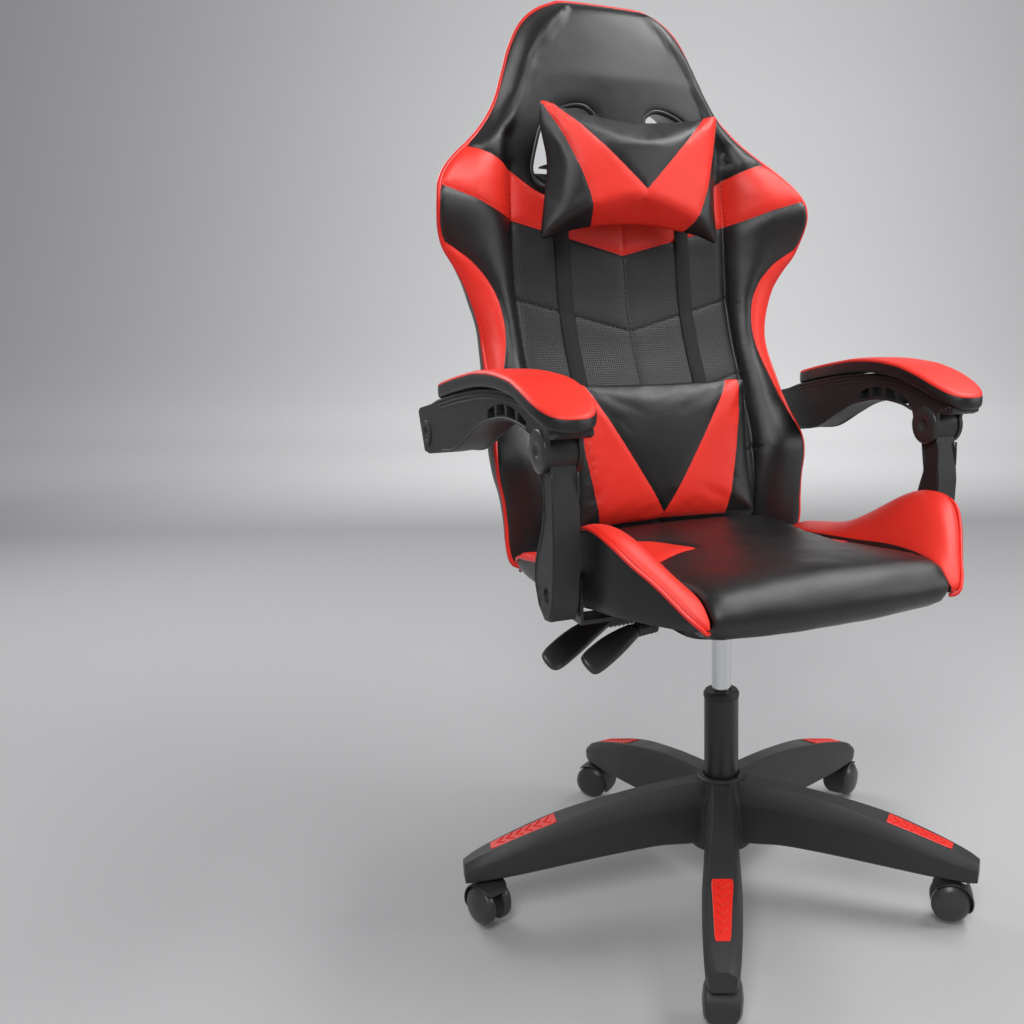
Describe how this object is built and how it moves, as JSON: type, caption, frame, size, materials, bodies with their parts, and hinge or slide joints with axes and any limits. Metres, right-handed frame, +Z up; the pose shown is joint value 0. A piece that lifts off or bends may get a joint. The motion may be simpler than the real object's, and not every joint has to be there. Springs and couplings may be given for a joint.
{
  "type": "gaming chair",
  "caption": "Racing-style swivel chair with winged bucket seat, reclining backrest, linked armrests, loose pillows and a caster star base.",
  "frame": {"origin": "on the floor, under the middle of the chair's bounding box; the gas lift's axis is 50 mm in front of it, at y = -0.050", "axes": "+Z up, the sitter faces -Y, the sitter's left hand is on +X"},
  "size_m": [0.7319, 0.7718, 1.297],
  "materials": {
    "black_plastic": "fine satin grain",
    "black_steel": "powder coated, semi-gloss",
    "chrome": "polished",
    "zinc_steel": "bright zinc plate",
    "red_plastic": "satin gloss",
    "black_leather": "fine grained synthetic leather over foam",
    "red_leather": "fine grained synthetic leather over foam",
    "webbing": "woven webbing"
  },
  "bodies": {
    "base": {"star_base": "black_plastic", "foot_trim_1": "red_plastic", "foot_trim_2": "red_plastic", "foot_trim_3": "red_plastic", "foot_trim_4": "red_plastic", "foot_trim_5": "red_plastic", "lift_outer_tube": "black_steel", "lift_guide_bush": "black_plastic"},
    "caster_1": {"caster_hood_1": "black_plastic"},
    "wheels_1": {"caster_wheels_1": "black_plastic"},
    "caster_2": {"caster_hood_2": "black_plastic"},
    "wheels_2": {"caster_wheels_2": "black_plastic"},
    "caster_3": {"caster_hood_3": "black_plastic"},
    "wheels_3": {"caster_wheels_3": "black_plastic"},
    "caster_4": {"caster_hood_4": "black_plastic"},
    "wheels_4": {"caster_wheels_4": "black_plastic"},
    "caster_5": {"caster_hood_5": "black_plastic"},
    "wheels_5": {"caster_wheels_5": "black_plastic"},
    "lift_rod": {"lift_piston_rod": "zinc_steel", "lift_thrust_bearing": "zinc_steel"},
    "seat": {"lift_column": "chrome", "tilt_housing": "black_steel", "recline_support_arm": "black_steel", "recline_shaft": "zinc_steel", "seat_base": "black_steel", "seat_cushion": "black_leather", "seat_bolster_right": "red_leather", "seat_bolster_left": "red_leather", "arm_post_bolt_right": "zinc_steel", "arm_post_bolt_left": "zinc_steel"},
    "valve_pin": {"lift_valve_pin": "zinc_steel"},
    "height_lever": {"height_lever_rod": "zinc_steel", "height_lever_handle": "black_plastic"},
    "recline_lever": {"recline_lever_rod": "zinc_steel", "recline_lever_handle": "black_plastic"},
    "back": {"back_frame": "black_steel", "back_cushion": "black_leather", "back_rear_shell": "black_leather", "harness_bezel_right": "black_plastic", "harness_bezel_left": "black_plastic", "back_plate": "black_steel", "back_plate_bolt_1": "zinc_steel", "back_plate_bolt_2": "zinc_steel", "recline_bracket": "black_steel", "recline_bracket_rim": "black_steel", "headrest_pillow": "red_leather", "lumbar_pillow": "red_leather", "headrest_strap": "webbing", "lumbar_strap_right": "webbing", "lumbar_strap_left": "webbing", "arm_rear_bolt_right": "zinc_steel", "arm_rear_bolt_left": "zinc_steel"},
    "post_right": {"arm_post_right": "black_plastic"},
    "arm_right": {"arm_beam_right": "black_plastic", "arm_pad_right": "red_leather", "arm_knuckle_pin_right": "zinc_steel"},
    "post_left": {"arm_post_left": "black_plastic"},
    "arm_left": {"arm_beam_left": "black_plastic", "arm_pad_left": "red_leather", "arm_knuckle_pin_left": "zinc_steel"}
  },
  "joints": [
    {"name": "caster_swivel_1", "type": "hinge", "parent": "base", "child": "caster_1", "pos_m": [-0.16883, -0.35659, 0.06], "axis": [0, 0, 1], "continuous": true},
    {"name": "wheel_roll_1", "type": "hinge", "parent": "caster_1", "child": "wheels_1", "pos_m": [-0.16253, -0.34522, 0.0275], "axis": [-0.8746, 0.4848, 0], "continuous": true},
    {"name": "caster_swivel_2", "type": "hinge", "parent": "base", "child": "caster_2", "pos_m": [0.23941, -0.30531, 0.06], "axis": [0, 0, 1], "continuous": true},
    {"name": "wheel_roll_2", "type": "hinge", "parent": "caster_2", "child": "wheels_2", "pos_m": [0.22876, -0.29785, 0.0275], "axis": [-0.5736, -0.8192, 0], "continuous": true},
    {"name": "caster_swivel_3", "type": "hinge", "parent": "base", "child": "caster_3", "pos_m": [0.31679, 0.0988, 0.06], "axis": [0, 0, 1], "continuous": true},
    {"name": "wheel_roll_3", "type": "hinge", "parent": "caster_3", "child": "wheels_3", "pos_m": [0.32816, 0.1051, 0.0275], "axis": [-0.4848, 0.8746, 0], "continuous": true},
    {"name": "caster_swivel_4", "type": "hinge", "parent": "base", "child": "caster_4", "pos_m": [-0.04362, 0.29727, 0.06], "axis": [0, 0, 1], "continuous": true},
    {"name": "wheel_roll_4", "type": "hinge", "parent": "caster_4", "child": "wheels_4", "pos_m": [-0.05198, 0.30723, 0.0275], "axis": [-0.766, -0.6428, 0], "continuous": true},
    {"name": "caster_swivel_5", "type": "hinge", "parent": "base", "child": "caster_5", "pos_m": [-0.34375, 0.01582, 0.06], "axis": [0, 0, 1], "continuous": true},
    {"name": "wheel_roll_5", "type": "hinge", "parent": "caster_5", "child": "wheels_5", "pos_m": [-0.33974, 0.00346, 0.0275], "axis": [0.9511, 0.309, 0], "continuous": true},
    {"name": "seat_swivel", "type": "hinge", "parent": "base", "child": "lift_rod", "pos_m": [0, -0.05, 0.066], "axis": [0, 0, 1], "continuous": true},
    {"name": "gas_lift", "type": "slide", "parent": "lift_rod", "child": "seat", "axis": [0, 0, 1], "range_m": [-0.085, 0.015]},
    {"name": "height_lever_lift", "type": "hinge", "parent": "seat", "child": "height_lever", "pos_m": [-0.02, -0.055, 0.415], "axis": [-0.2411, 0.9705, 0], "range_deg": [0, 6], "stiffness_Nm_per_rad": 6, "springref_deg": -11.46},
    {"name": "valve_press", "type": "slide", "parent": "seat", "child": "valve_pin", "axis": [0, 0, -1], "range_m": [0, 0.0028]},
    {"name": "recline_lever_lift", "type": "hinge", "parent": "seat", "child": "recline_lever", "pos_m": [-0.04, -0.02, 0.418], "axis": [0, 1, 0], "range_deg": [0, 7.5], "stiffness_Nm_per_rad": 8, "springref_deg": -11.46},
    {"name": "recline", "type": "hinge", "parent": "seat", "child": "back", "pos_m": [0, 0.118, 0.405], "axis": [-1, 0, 0], "range_deg": [0, 45]},
    {"name": "post_pivot_right", "type": "hinge", "parent": "seat", "child": "post_right", "pos_m": [-0.284, -0.156, 0.5], "axis": [-1, 0, 0], "range_deg": [0, 60]},
    {"name": "arm_knuckle_right", "type": "hinge", "parent": "post_right", "child": "arm_right", "pos_m": [-0.284, -0.164, 0.676], "axis": [1, 0, 0], "range_deg": [0, 47]},
    {"name": "post_pivot_left", "type": "hinge", "parent": "seat", "child": "post_left", "pos_m": [0.284, -0.156, 0.5], "axis": [-1, 0, 0], "range_deg": [0, 60]},
    {"name": "arm_knuckle_left", "type": "hinge", "parent": "post_left", "child": "arm_left", "pos_m": [0.284, -0.164, 0.676], "axis": [1, 0, 0], "range_deg": [0, 47]}
  ],
  "couplings": [
    {"joint": "valve_press", "follows": "height_lever_lift", "m_per_rad": 0.0254},
    {"joint": "post_pivot_right", "follows": "recline", "ratio": 1.3171},
    {"joint": "arm_knuckle_right", "follows": "recline", "ratio": 1.0326},
    {"joint": "post_pivot_left", "follows": "recline", "ratio": 1.3171},
    {"joint": "arm_knuckle_left", "follows": "recline", "ratio": 1.0326}
  ]
}
